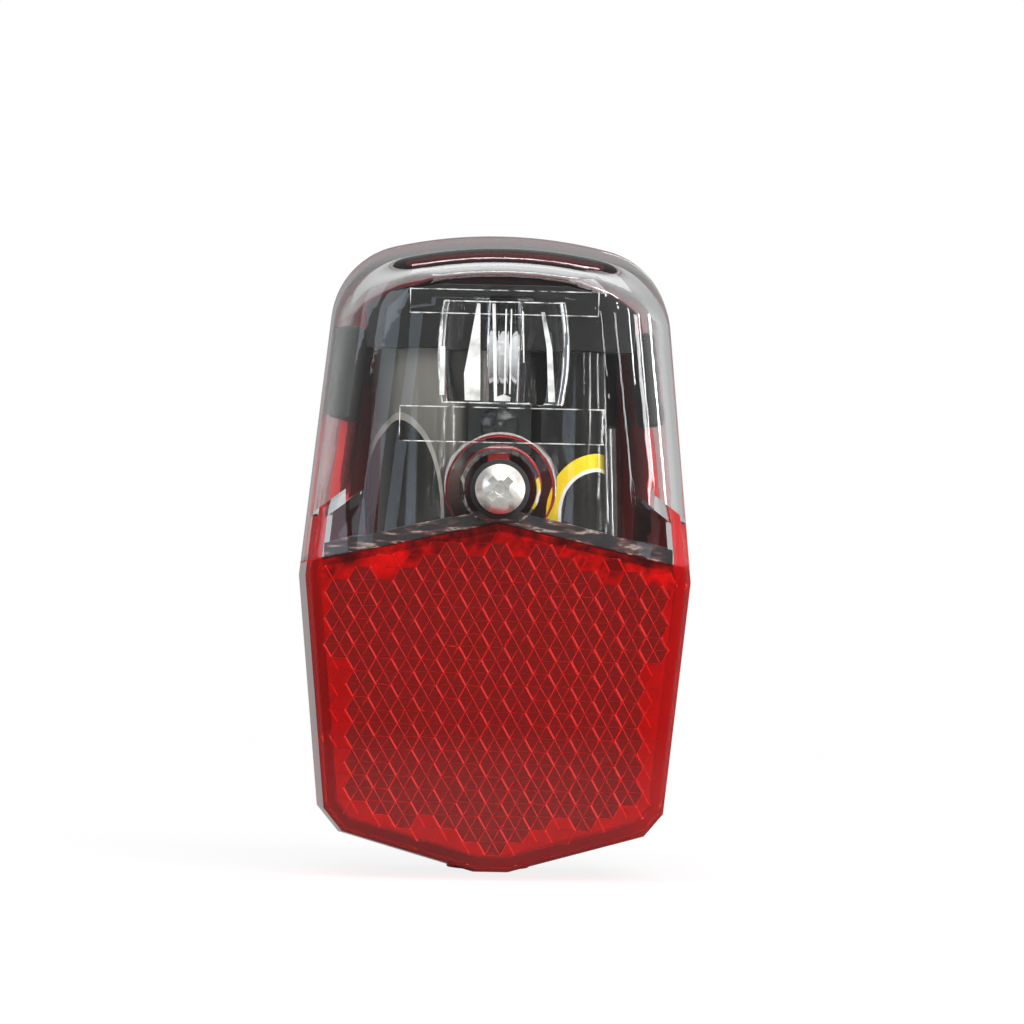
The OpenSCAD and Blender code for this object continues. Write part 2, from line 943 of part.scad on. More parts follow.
module bottom_spring() {
    color(metal)
        translate([-cell_x, -cell_depth, contact_low])
            spring();
}

module switch_body() {
    color([0.08, 0.08, 0.09])
        difference() {
            translate([-switch_w / 2, -button_depth - switch_w / 2, switch_low])
                cube([switch_w, switch_w, switch_h]);
            translate([0, -button_depth, switch_low - 1])
                cylinder(d = plunger_d + 0.2, h = 4.1);
        }
}

module switch_terminals() {
    color(metal)
        for (x = [-2.3, 2.3])
            translate([x - 0.4, -button_depth - 2, switch_top])
                cube([0.8, 0.5, contact_low - contact_t - switch_top]);
}

module switch_plunger() {
    color([0.85, 0.85, 0.82])
        translate([0, -button_depth, 1.7])
            cylinder(d = plunger_d, h = switch_low - 1.7 + 1.5);
}

module button_cap() {
    color([0.12, 0.02, 0.02])
        translate([0, -button_depth, 0])
            difference() {
                union() {
                    translate([0, 0, 0.7])
                        cylinder(d = button_d, h = button_floor);
                    translate([0, 0, 0.3])
                        cylinder(d1 = button_d - 0.8, d2 = button_d, h = 0.4);
                    translate([0, 0, button_floor])
                        cylinder(d = button_d + 2, h = button_flange);
                }
                translate([0, 0, 1.7])
                    cylinder(d = plunger_d + 0.1, h = 5);
            }
}

module set() {
    translate([0, saddle_drop, -mount_h])
        children();
}

set() housing();
set() clear_cover();
set() reflector();
set() reflector_backing();
set() cover_screw();
set() screw_washer();
set() mount_insert();
set() side_clip(-1);  // left_side_clip
set() side_clip(1);  // right_side_clip
set() contact_wall();
set() left_cell_jacket();
set() left_cell_cap();
set() left_cell_base();
set() right_cell_jacket();
set() right_cell_cap();
set() right_cell_base();
set() circuit_board();
set() led_body();
set() led_legs();
set() resistor();
set() chip_blob();
set() top_positive_contact();
set() top_negative_contact();
set() bottom_positive_contact();
set() bottom_negative_contact();
set() top_spring();
set() bottom_spring();
set() switch_body();
set() switch_terminals();
set() switch_plunger();
set() button_cap();
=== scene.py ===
import json
import math

import bmesh
import bpy
from mathutils import Matrix, Vector

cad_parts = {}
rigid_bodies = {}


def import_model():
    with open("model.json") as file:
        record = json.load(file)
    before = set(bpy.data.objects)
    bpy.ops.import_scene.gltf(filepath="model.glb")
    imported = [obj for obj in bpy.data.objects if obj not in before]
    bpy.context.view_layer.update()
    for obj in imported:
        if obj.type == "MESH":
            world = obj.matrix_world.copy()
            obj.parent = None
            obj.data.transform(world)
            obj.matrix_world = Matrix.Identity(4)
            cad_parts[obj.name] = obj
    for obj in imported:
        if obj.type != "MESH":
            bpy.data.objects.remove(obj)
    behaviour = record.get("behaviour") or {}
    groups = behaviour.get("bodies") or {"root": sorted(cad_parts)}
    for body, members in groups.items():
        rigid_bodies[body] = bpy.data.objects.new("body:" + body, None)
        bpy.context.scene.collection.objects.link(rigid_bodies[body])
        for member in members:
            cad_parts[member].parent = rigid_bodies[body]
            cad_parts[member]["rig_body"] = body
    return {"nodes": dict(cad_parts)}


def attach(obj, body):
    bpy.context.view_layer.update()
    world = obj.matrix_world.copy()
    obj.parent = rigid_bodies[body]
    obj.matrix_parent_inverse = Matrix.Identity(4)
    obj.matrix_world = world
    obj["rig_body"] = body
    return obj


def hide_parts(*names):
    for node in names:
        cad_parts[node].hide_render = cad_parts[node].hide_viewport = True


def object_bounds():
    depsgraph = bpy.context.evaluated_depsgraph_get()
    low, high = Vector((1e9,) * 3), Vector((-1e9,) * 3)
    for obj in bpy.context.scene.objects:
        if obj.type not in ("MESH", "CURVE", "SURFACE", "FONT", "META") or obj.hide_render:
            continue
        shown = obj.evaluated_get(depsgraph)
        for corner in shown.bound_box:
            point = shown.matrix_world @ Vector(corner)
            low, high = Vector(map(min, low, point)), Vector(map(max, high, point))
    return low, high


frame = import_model()
cad_low, cad_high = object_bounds()

# Housing: the back shell of the light, one glossy moulding in red plastic that is dyed right through.
# The rear pad, the lip for the clear cover, the ribs and the screw boss are moulded with it.
# Its rim and ceiling near the top carry painted shade: their colour is darkened there, where the black wall
# keeps the light off them.

mm = 0.001


class Wire:
    """A socket in a material or world. Sums on wires add Math nodes, and add() makes any other node."""

    def __init__(self, tree, socket=None):
        self.tree = tree
        self.socket = socket

    def add(self, kind, settings=None, inputs=None, out=0):
        node = self.tree.nodes.new(kind)
        for name, value in (settings or {}).items():
            if name == "stops":
                stops = node.color_ramp.elements
                for k, (place, colour) in enumerate(value):
                    stop = stops[k] if k < 2 else stops.new(place)
                    stop.position = place
                    stop.color = (*colour, 1)
            else:
                setattr(node, name, value)
        for name, value in (inputs or {}).items():
            if isinstance(value, Wire):
                self.tree.links.new(value.socket, node.inputs[name])
            else:
                node.inputs[name].default_value = value
        return Wire(self.tree, node.outputs[out])

    def math(self, operation, *values):
        return self.add("ShaderNodeMath", {"operation": operation}, dict(enumerate(values)))

    def __add__(self, other):
        return self.math("ADD", self, other)

    def __radd__(self, other):
        return self.math("ADD", other, self)

    def __sub__(self, other):
        return self.math("SUBTRACT", self, other)

    def __rsub__(self, other):
        return self.math("SUBTRACT", other, self)

    def __mul__(self, other):
        return self.math("MULTIPLY", self, other)

    def __rmul__(self, other):
        return self.math("MULTIPLY", other, self)

    def __gt__(self, other):
        return self.math("GREATER_THAN", self, other)

    def __lt__(self, other):
        return self.math("LESS_THAN", self, other)

    def spot(self):
        """The place on the piece, in the part's own frame."""
        return self.add("ShaderNodeTexCoord", out="Object")

    def along(self, axis):
        """One number of a place or a direction: 0 is across, 1 is to the back and 2 is up."""
        return self.add("ShaderNodeSeparateXYZ", None, {0: self}, out=axis)

    def ramp(self, start, end):
        """A straight rise from 0 at the start value to 1 at the end value, level beyond both."""
        return self.add("ShaderNodeMapRange", None, {"Value": self, "From Min": start, "From Max": end})

    def noise(self, scale, detail=2.0):
        """Even cloudy variation, 0 to 1, over the part's own millimetres."""
        inputs = {"Vector": self.spot(), "Scale": scale / mm, "Detail": detail}
        return self.add("ShaderNodeTexNoise", None, inputs)

    def blend(self, share, first, second):
        """A colour that goes from first to second as share goes from 0 to 1."""
        inputs = {0: share, 6: first, 7: second}
        return self.add("ShaderNodeMix", {"data_type": "RGBA"}, inputs, out=2)

    def bump(self, height, depth):
        return self.add("ShaderNodeBump", None, {"Height": height, "Distance": depth})


def finish(name, constants):
    """A material with one Principled shader, whose own sockets hold the constants."""
    material = bpy.data.materials.new(name)
    material.use_nodes = True
    shader = material.node_tree.nodes["Principled BSDF"]
    for socket, value in constants.items():
        shader.inputs[socket].default_value = value
    return material, Wire(material.node_tree)


def feed(material, socket, wire):
    """Links what varies over the surface into one of the Principled shader's sockets."""
    shader = material.node_tree.nodes["Principled BSDF"]
    material.node_tree.links.new(wire.socket, shader.inputs[socket])


def mark_creases(mesh, angle):
    """Smooth shading, with an edge kept sharp where its faces meet at more than the angle."""
    for edge in mesh.edges:
        edge.smooth = len(edge.link_faces) == 2 and edge.calc_face_angle() < math.radians(angle)
    for face in mesh.faces:
        face.smooth = True


def settled(mesh, name):
    """Turns a finished bmesh into an object of the scene."""
    data = bpy.data.meshes.new(name)
    mesh.to_mesh(data)
    mesh.free()
    made = bpy.data.objects.new(name, data)
    bpy.context.scene.collection.objects.link(made)
    return made


def round_edges(piece, radius, angle):
    """Rounds the edges where the faces of a piece meet at more than the angle."""
    rounding = piece.modifiers.new("rounded_edges", "BEVEL")
    rounding.width = radius
    rounding.segments = 2
    rounding.limit_method = "ANGLE"
    rounding.angle_limit = math.radians(angle)
    rounding.harden_normals = True


def refined(node, name, material, radius, angle=28):
    """A copy of a CAD node with its sharp edges rounded to the radius, which stands for the node."""
    weld = 0.0005 * mm
    nearly_flat = math.radians(0.5)
    source = frame["nodes"][node]
    mesh = bmesh.new()
    mesh.from_mesh(source.data)
    bmesh.ops.remove_doubles(mesh, verts=mesh.verts, dist=weld)
    bmesh.ops.dissolve_limit(
        mesh, angle_limit=nearly_flat, verts=mesh.verts, edges=mesh.edges, delimit={"NORMAL"}
    )
    mark_creases(mesh, angle)
    piece = settled(mesh, name)
    piece.data.materials.append(material)
    if radius:
        round_edges(piece, radius, angle)
    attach(piece, source["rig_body"])
    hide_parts(node)
    return piece


deep_red = (0.42, 0.008, 0.01, 1)
bright_red = (0.56, 0.016, 0.018, 1)
shaded_red = (0.03, 0.004, 0.005, 1)
shade_start = 17 * mm
shade_full = 26 * mm
shade_share = 0.9
red_plastic, wire = finish("red_plastic", {"IOR": 1.5})
# Painted shade: faces that look forward or down are darkened in colour near the top.
facing = wire.add("ShaderNodeNewGeometry", out="Normal")
rim = facing.along(1).ramp(-0.3, -0.7)
ceiling = facing.along(2).ramp(-0.2, -0.6)
height = wire.spot().along(2).ramp(shade_start, shade_full)
shade = height * wire.math("MAXIMUM", rim, ceiling) * shade_share
dye = wire.blend(wire.noise(0.12, 3), deep_red, bright_red)
feed(red_plastic, "Base Color", wire.blend(shade, dye, shaded_red))
feed(red_plastic, "Roughness", 0.16 + 0.12 * wire.noise(0.9))
feed(red_plastic, "Normal", wire.bump(wire.noise(2.4, 4), 0.004 * mm))
refined("housing", "housing_shell", red_plastic, radius=0.12 * mm)

# Mount insert: a bush turned from brass, with two grooves that hold it in the plastic.
# It is pressed into the rear pad, and the mudguard bolt screws into it.


def clouded(material, cloud, dark, light, smooth, spread):
    """Colour from dark to light, and roughness from smooth up by the spread, along one cloudy pattern."""
    feed(material, "Base Color", cloud.blend(cloud, dark, light))
    feed(material, "Roughness", smooth + spread * cloud)


brass, wire = finish("turned_brass", {"Metallic": 1.0})
dull_brass = (0.62, 0.43, 0.14, 1)
bright_brass = (0.78, 0.58, 0.24, 1)
clouded(brass, wire.noise(0.6), dull_brass, bright_brass, smooth=0.22, spread=0.16)
refined("mount_insert", "threaded_insert", brass, radius=0.1 * mm)

# Contacts and springs: strips pressed from nickel-plated steel, and cone springs wound from plated wire.
# The strips stand at the ends of the cell bay, and a spring presses each cell against the strip opposite.
# The switch's terminals, the lamp's legs and the end plates of the cells have the same plating.

plated, wire = finish("nickel_plate", {"Metallic": 1.0})
dull_nickel = (0.6, 0.58, 0.54, 1)
bright_nickel = (0.82, 0.8, 0.76, 1)
clouded(plated, wire.noise(1.6, 4), dull_nickel, bright_nickel, smooth=0.16, spread=0.2)
for node in (
    "top_positive_contact",
    "top_negative_contact",
    "bottom_positive_contact",
    "bottom_negative_contact",
    "switch_terminals",
    "led_legs",
):
    refined(node, node + "_strip", plated, radius=0.08 * mm)
for node in ("top_spring", "bottom_spring"):
    refined(node, node + "_wire", plated, radius=0, angle=70)
for node in ("left_cell_cap", "left_cell_base", "right_cell_cap", "right_cell_base"):
    refined(node, node + "_plate", plated, radius=0.15 * mm)

# Cells: two round cells in a glossy black film that is shrunk on. They lie side by side in the housing.
# Each film has a plain arch on the side that faces out. The left arch is black on a grey ground, and the
# right arch is edged with a yellow and a white band.


def cell_film(name, middle, half_width, rise, ground, bands, side_end):
    """Film with an arch on it: a ground outside, then bands from its rim inwards, as far as the side end."""
    front_edge = -12.5 * mm
    ground_start = 4 * mm
    ground_full = 20 * mm
    side_fade = 1.6
    film, wire = finish(name, {"IOR": 1.52, "Coat Weight": 0.7, "Coat Roughness": 0.04})
    x, y, z = (wire.spot().along(axis) for axis in range(3))
    aside = (x - middle[0] * mm) * (1 / half_width / mm)
    above = wire.math("MAXIMUM", (z - middle[1] * mm) * (1 / rise / mm), 0.0)
    reach = wire.math("SQRT", aside * aside + above * above) + 0.02 * wire.noise(0.6)
    dirt = wire.noise(0.35, 4)
    black = wire.blend(dirt, (0.003, 0.003, 0.002, 1), (0.011, 0.009, 0.007, 1))
    front = y < front_edge
    printed = front * x.ramp(side_end * mm, (side_end - side_fade) * mm)
    colour = wire.blend(z.ramp(ground_start, ground_full) * front, black, ground)
    for edge, tone in bands:
        colour = wire.blend((reach < edge) * printed, colour, tone)
    colour = wire.blend((reach < bands[-1][0]) * front, colour, black)
    feed(film, "Base Color", colour)
    feed(film, "Roughness", 0.07 + 0.1 * dirt)
    return film


left_film = cell_film(
    "left_film",
    middle=(-11.5, 3.5),
    half_width=5.6,
    rise=12.0,
    ground=(0.17, 0.16, 0.14, 1),
    bands=((1.0, (0.24, 0.23, 0.2, 1)), (0.93, (0.01, 0.009, 0.008, 1))),
    side_end=20,
)
right_film = cell_film(
    "right_film",
    middle=(10.95, 4.6),
    half_width=5.7,
    rise=6.6,
    ground=(0.008, 0.008, 0.007, 1),
    bands=(
        (1.0, (0.8, 0.58, 0.01, 1)),
        (0.76, (0.75, 0.74, 0.7, 1)),
        (0.7, (0.008, 0.008, 0.008, 1)),
    ),
    side_end=12.2,
)
for side, film in (("left", left_film), ("right", right_film)):
    refined(side + "_cell_jacket", side + "_cell_film", film, radius=0.12 * mm)

# Lamp board: a narrow circuit board in dark lacquer, seated on the housing's middle rib between the cells.
# A chip resistor is soldered to it, and its chip lies under a drop of black resin.

lacquer, wire = finish("solder_mask", {"IOR": 1.5})
dark_lacquer = (0.004, 0.005, 0.004, 1)
light_lacquer = (0.012, 0.014, 0.012, 1)
clouded(lacquer, wire.noise(1.2, 3), dark_lacquer, light_lacquer, smooth=0.22, spread=0.2)
refined("circuit_board", "lamp_board", lacquer, radius=0.06 * mm)

resin, wire = finish("black_resin", {"IOR": 1.5, "Coat Weight": 0.5, "Coat Roughness": 0.04})
lumps = wire.noise(0.7, 3)
clouded(resin, lumps, (0.004, 0.004, 0.004, 1), (0.012, 0.012, 0.012, 1), smooth=0.06, spread=0.1)
feed(resin, "Normal", wire.bump(lumps, 0.35 * mm))
refined("chip_blob", "chip_resin", resin, radius=0)
refined("resistor", "chip_resistor", resin, radius=0.08 * mm)

# Switch: a push switch in a black plastic case in the foot of the housing, with a white plunger.
# A soft black rubber cap sits in the foot from below, over the plunger.

black_plastic, wire = finish("black_plastic", {"IOR": 1.5, "Specular IOR Level": 0.3})
mottle = wire.noise(1.8, 3)
clouded(black_plastic, mottle, (0.003, 0.003, 0.003, 1), (0.011, 0.01, 0.009, 1), smooth=0.32, spread=0.2)
feed(black_plastic, "Normal", wire.bump(mottle, 0.01 * mm))
refined("switch_body", "switch_case", black_plastic, radius=0.15 * mm)

white_plastic, wire = finish("white_plastic", {"IOR": 1.48})
ivory = (0.72, 0.71, 0.67, 1)
off_white = (0.86, 0.85, 0.81, 1)
clouded(white_plastic, wire.noise(0.8), ivory, off_white, smooth=0.3, spread=0.15)
refined("switch_plunger", "switch_pin", white_plastic, radius=0.12 * mm)

rubber, wire = finish("black_rubber", {"IOR": 1.45})
dark_rubber = (0.012, 0.011, 0.011, 1)
light_rubber = (0.032, 0.03, 0.03, 1)
clouded(rubber, wire.noise(1.1, 4), dark_rubber, light_rubber, smooth=0.55, spread=0.25)
feed(rubber, "Normal", wire.bump(wire.noise(5, 3), 0.012 * mm))
refined("button_cap", "button_rubber", rubber, radius=0.25 * mm)

# Side clips and contact wall: mouldings in black plastic in the upper part of the housing.
# A clip stands at each side, behind the clear cover. The wall carries the upper contacts, and a shield that
# hangs from it covers them in front.

for node, name, edge_radius in (
    ("left_side_clip", "left_clip_block", 0.55),
    ("right_side_clip", "right_clip_block", 0.55),
    ("contact_wall", "contact_wall_plate", 0.15),
):
    refined(node, name, black_plastic, radius=edge_radius * mm)

# Lamp body: clear epoxy, cast round the lamp's two legs, with a domed end.
# It stands in front of the board, on its legs, and shines into the lens block of the cover.


def clear_finish(name, tint, roughness, refraction, clearness=1.0):
    """Clear cast plastic. Light for shadows passes straight through it, tinted."""
    constants = {"Base Color": (*tint, 1), "Transmission Weight": clearness, "IOR": refraction}
    material, wire = finish(name, constants | {"Roughness": roughness})
    nodes = material.node_tree.nodes
    shader = Wire(material.node_tree, nodes["Principled BSDF"].outputs[0])
    thin = [math.sqrt(part) for part in tint]
    passing = wire.add("ShaderNodeBsdfTransparent", None, {"Color": (*thin, 1)})
    shadow = wire.add("ShaderNodeLightPath", out="Is Shadow Ray")
    mixed = wire.add("ShaderNodeMixShader", None, {0: shadow, 1: shader, 2: passing})
    material.node_tree.links.new(mixed.socket, nodes["Material Output"].inputs["Surface"])
    return material


epoxy = clear_finish("clear_epoxy", (0.92, 0.92, 0.93), roughness=0.06, refraction=1.53, clearness=0.55)
refined("led_body", "lamp_dome", epoxy, radius=0.1 * mm)

# Clear cover: one polished clear moulding over the cells and the lamp, held by a single screw.
# It is a thin shell with thicker front corners. The lens block, two flat pads and the screw pocket are
# moulded inside its front, and a lip behind its lower edge.

saddle_drop = 0.617
mount_height = -cad_low.z / mm
seam_depth = 14.0
seam_play = 0.05
front_depth = 27.99
front_lean = math.radians(4)
lamp_height = 57.8
wall = 1.6
corner_fill = 0.5
side_draft = 0.9
top_draft = 2.8
side_round = 7.0
top_round = 2.2
top_radius = 52.0
top_corner = 9.2
least_corner = 1.0
body_height = (cad_high.z - cad_low.z) / mm
waist_half = (cad_high.x - cad_low.x) / 2 / mm
waist_height = 33.0
shoulder_half = waist_half - 3.0
shoulder_height = 61.8
side_slope = math.atan2(waist_half - shoulder_half, shoulder_height - waist_height)
side_reach = waist_half * math.cos(side_slope) + waist_height * math.sin(side_slope)
top_middle = body_height - top_radius
skirt = 6
hollow_overrun = 2.0


def place(x, depth, height):
    """A point from its place across, its depth in front of the rear pad and its height, in millimetres."""
    return Vector((x, saddle_drop - depth, height - mount_height)) * mm


def side_at(inset, height):
    """How far the side lies from the middle at a height, drawn in by the inset."""
    return (side_reach - inset - height * math.sin(side_slope)) / math.cos(side_slope)


def lean_at(height):
    """How far the leaning front comes forward at a height, against its depth at the lamp."""
    return (height - lamp_height) * math.tan(front_lean)


def crown(inset_side, inset_top, steps):
    """The right half of the arched top and its corner, from the middle of the top down to the side."""
    corner = max(top_corner - min(inset_side, inset_top), least_corner)
    across = side_reach - inset_side - corner
    off = across - top_middle * math.sin(side_slope)
    along = top_middle * math.cos(side_slope) + math.sqrt((top_radius - inset_top - corner) ** 2 - off**2)
    x = across * math.cos(side_slope) - along * math.sin(side_slope)
    z = across * math.sin(side_slope) + along * math.cos(side_slope)
    start = math.atan2(z - top_middle, x)
    arch = [math.pi / 2 + (start - math.pi / 2) * k / steps for k in range(steps)]
    bend = [start + (side_slope - start) * k / steps for k in range(steps + 1)]
    points = [
        ((top_radius - inset_top) * math.cos(a), top_middle + (top_radius - inset_top) * math.sin(a))
        for a in arch
    ]
    return points + [(x + corner * math.cos(a), z + corner * math.sin(a)) for a in bend]


def loft(name, rings):
    """A closed mesh through rings of points, with a flat face at each end."""
    mesh = bmesh.new()
    rows = [[mesh.verts.new(p) for p in ring] for ring in rings]
    count = len(rows[0])
    for low, high in zip(rows, rows[1:]):
        for k in range(count):
            mesh.faces.new((low[k], low[(k + 1) % count], high[(k + 1) % count], high[k]))
    mesh.faces.new(rows[0][::-1])
    mesh.faces.new(rows[-1])
    bmesh.ops.recalc_face_normals(mesh, faces=mesh.faces)
    return settled(mesh, name)


def cover_form(name, inset):
    """The smooth form of the cover, drawn in by the inset: its sides, arched top and rounded front."""
    flat_steps, round_steps, crown_steps, side_steps = 4, 22, 14, 6
    front = front_depth - inset
    side_r = side_round + corner_fill * inset
    top_r = top_round - inset / 2
    low_end = waist_height - skirt
    back = seam_depth + (-hollow_overrun if inset else seam_play)
    turns = [math.radians(90 * k / round_steps) for k in range(round_steps + 1)]
    depths = [back + (front - side_r - back) * k / flat_steps for k in range(flat_steps)]
    depths += [front - side_r + side_r * math.sin(turn) for turn in turns]
    rings = []
    for depth in depths:
        share = (depth - seam_depth) / (front - seam_depth)
        side, top = inset + side_draft * share, inset + top_draft * share
        if depth > front - side_r:
            side += side_r - math.sqrt(max(side_r**2 - (depth - front + side_r) ** 2, 0))
        if depth > front - top_r:
            top += top_r - math.sqrt(max(top_r**2 - (depth - front + top_r) ** 2, 0))
        half = crown(side, top, crown_steps)
        side_top = half[-1][1]
        drop = side_top - low_end
        heights = [side_top - drop * k / side_steps for k in range(1, side_steps + 1)]
        half += [(side_at(side, z), z) for z in heights]
        outline = half + [(-x, z) for x, z in reversed(half[1:])]
        rings.append([place(x, depth + lean_at(z) * max(share, 0), z) for x, z in outline])
    return loft(name, rings)


def slab(name, outline, from_depth, to_depth):
    """A flat outline, across and up, carried straight forward between two depths."""
    rings = [[place(x, depth, z) for x, z in outline] for depth in (from_depth, to_depth)]
    return loft(name, rings)


def carve(piece, tool, operation):
    """Joins a tool shape to a piece, or cuts the piece with it, and removes the tool."""
    step = piece.modifiers.new(operation.lower(), "BOOLEAN")
    step.operation = operation
    step.solver = "EXACT"
    step.object = tool
    result = bpy.data.meshes.new_from_object(piece.evaluated_get(bpy.context.evaluated_depsgraph_get()))
    piece.modifiers.clear()
    piece.data = result
    bpy.data.objects.remove(tool)


def circle(x, z, radius, steps=64):
    turn = 2 * math.pi / steps
    return [(x + radius * math.cos(k * turn), z + radius * math.sin(k * turn)) for k in range(steps)]


def box(half, low, high):
    """An oblong outline across the middle line, between two heights."""
    return [(-half, low), (half, low), (half, high), (-half, high)]


peak_height = 39.2
seam_fall = math.tan(math.radians(12.6))
seam_gap = 0.15
face_depth = 25.93
band_flat = 14.5
band_lift = 5.2
band_fall = 0.753
band_low = 28
band_back = 17.9
band_rings = ((0.5, band_back), (0.9, face_depth - 0.6), (1.5, face_depth))


def chevron(lift, far_height):
    """The outline between a far height and the seam: a roof line that falls to both sides from its peak."""
    far = 40
    return [
        (-far, peak_height + lift - far * seam_fall),
        (0, peak_height + lift),
        (far, peak_height + lift - far * seam_fall),
        (far, far_height),
        (-far, far_height),
    ]


def shoulder_form(name, inset):
    """The lower band of the cover, drawn in by the inset: it meets the reflector's outline edge for edge."""
    flat_height = peak_height + band_lift - inset
    rings = []
    for side, depth in band_rings:
        side += inset
        reach = side_reach - side - (flat_height + band_fall * band_flat) * math.sin(side_slope)
        x = reach / (math.cos(side_slope) - band_fall * math.sin(side_slope))
        half = [
            (band_flat, flat_height),
            (x, flat_height - band_fall * (x - band_flat)),
            (side_at(side, band_low), band_low),
        ]
        outline = half + [(-x, z) for x, z in reversed(half)]
        drawn_back = inset if depth > band_back else 0
        rings.append([place(x, depth - drawn_back, z) for x, z in outline])
    return loft(name, rings)


cover = cover_form("clear_cover_moulding", 0)
hollow = cover_form("cover_hollow", wall)
carve(cover, shoulder_form("shoulder", 0), "UNION")
carve(hollow, shoulder_form("shoulder_hollow", wall), "UNION")
carve(cover, hollow, "DIFFERENCE")

lip_play = 0.2
lip_back = 21.9
lip_front = face_depth - 0.5
lip_below = 1
lip_above = 1.65
lip_half = side_at(wall + side_draft + lip_play, waist_height + 2)
roof = [(-lip_half, -lip_half * seam_fall), (0, 0), (lip_half, -lip_half * seam_fall)]
lip = [(x, peak_height - lip_below + z) for x, z in roof]
lip += [(x, peak_height + lip_above + z) for x, z in reversed(roof)]
carve(cover, slab("lower_lip", lip, lip_back, lip_front), "UNION")

screw_height = 42.9
pocket_radius = 4.0
pocket_wall = 1.8
floor_front = 23.75
floor_back = 22.55
floor_play = 0.02
boss_room = 3.0
behind_cover = 10
before_cover = 45
before_part = 60
below_part = -20
foot_flares = ((0, floor_back), (0, 24.6), (0.1, 25.0), (0.3, 25.3), (0.7, 25.6))
foot = [
    [place(x, depth, z) for x, z in circle(0, screw_height, pocket_radius + pocket_wall + flare)]
    for flare, depth in foot_flares
]
carve(cover, loft("pocket_tube", foot), "UNION")
carve(cover, slab("below_seam", chevron(seam_gap, below_part), 0, before_part), "DIFFERENCE")
room = circle(0, screw_height, boss_room)
carve(cover, slab("boss_room", room, behind_cover, floor_back + floor_play), "DIFFERENCE")

lens_back = 24.19
lens_half = 7.2
lens_height = 11.3
lens_depth = 2.9
lens_valley = 2.2
lens_barrel = 0.07
lens_steps = 60
lobe = lens_half / 2
lobe_gap = 0.5
flutes = (-1.1, 0.0, 1.1)
flute_radius = 0.75
flute_foot = 1.2
levels = [k / 5 - 1 for k in range(11)]
profile = []
for k in range(2 * lens_steps + 1):
    x = lens_half * (k / lens_steps - 1)
    rise = lens_valley
    off = abs(x) - lobe - lobe_gap
    if abs(off) < lobe:
        rise = min(rise, lobe - math.sqrt(lobe**2 - off**2))
    for flute in flutes:
        if abs(x - flute) < flute_radius:
            rise = min(rise, flute_foot - math.sqrt(flute_radius**2 - (x - flute) ** 2))
    profile.append((x, lens_back + rise))
profile += [(lens_half, lens_back + lens_depth), (-lens_half, lens_back + lens_depth)]
block = [
    [place(x * (1 - lens_barrel * s * s), depth, lamp_height + s * lens_height / 2) for x, depth in profile]
    for s in levels
]
carve(cover, loft("lens_block", block), "UNION")

pads = ((10.3, 62.0, 2.6), (11.2, 48.0, 3.8))
pad_rise = 0.35
pad_root = 0.55
for half, low, tall in pads:
    back = front_depth - wall - pad_rise
    pad = [
        [place(x, depth + lean_at(z), z) for x, z in box(half, low, low + tall)]
        for depth in (back, back + pad_rise + pad_root)
    ]
    carve(cover, loft("pad", pad), "UNION")

mouth_half = 2.1
mouth_drop = 10
screw_hole = 1.55
chamfer_rings = ((pocket_radius - 0.2, 26.3), (pocket_radius + 0.75, 27.25))
for name, outline, back in (
    ("pocket_room", circle(0, screw_height, pocket_radius), floor_front - floor_play),
    ("pocket_mouth", box(mouth_half, screw_height - mouth_drop, screw_height), floor_front - floor_play),
    ("screw_way", circle(0, screw_height, screw_hole), behind_cover),
):
    carve(cover, slab(name, outline, back, before_cover), "DIFFERENCE")
chamfer = [
    [place(x, depth, z) for x, z in circle(0, screw_height, radius)] for radius, depth in chamfer_rings
]
carve(cover, loft("pocket_chamfer", chamfer), "DIFFERENCE")

shaped = bmesh.new()
shaped.from_mesh(cover.data)
bmesh.ops.remove_doubles(shaped, verts=shaped.verts, dist=0.002 * mm)
mark_creases(shaped, angle=24)
shaped.to_mesh(cover.data)
shaped.free()
round_edges(cover, radius=0.12 * mm, angle=35)
clear_plastic = clear_finish("clear_plastic", (0.95, 0.96, 0.96), roughness=0.012, refraction=1.5)
ripple = Wire(clear_plastic.node_tree).noise(0.22, 3)
feed(clear_plastic, "Normal", ripple.bump(ripple, 0.02 * mm))
cover.data.materials.clear()
cover.data.materials.append(clear_plastic)
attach(cover, "cover")
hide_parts("clear_cover")

# Rim lines and lens facets: painted highlights. Matt white ribbons on the rims of the pads and of the lens
# block stand in for the light that the rims catch.
# White facets between the flutes of the block are painted highlights, where the lobes of the block would
# reflect the light.
# They stand for clear plastic like the cover, shown here as ribbons and facets as thin as a film.


def ribbon(mesh, start, end, half, overrun=0.0):
    """A flat strip that faces forward, between two points given across, in depth and up."""
    run = Vector((end[0] - start[0], end[2] - start[2])).normalized()
    corners = []
    for (x, depth, z), past, aside in (
        (start, -overrun, half),
        (end, overrun, half),
        (end, overrun, -half),
        (start, -overrun, -half),
    ):
        corner = place(x + past * run.x - aside * run.y, depth, z + past * run.y + aside * run.x)
        corners.append(mesh.verts.new(corner))
    return mesh.faces.new(corners)


def thicken(piece):
    """Gives flat strips the thickness of a film."""
    film = piece.modifiers.new("thickness", "SOLIDIFY")
    film.thickness = 0.02 * mm
    film.offset = 0


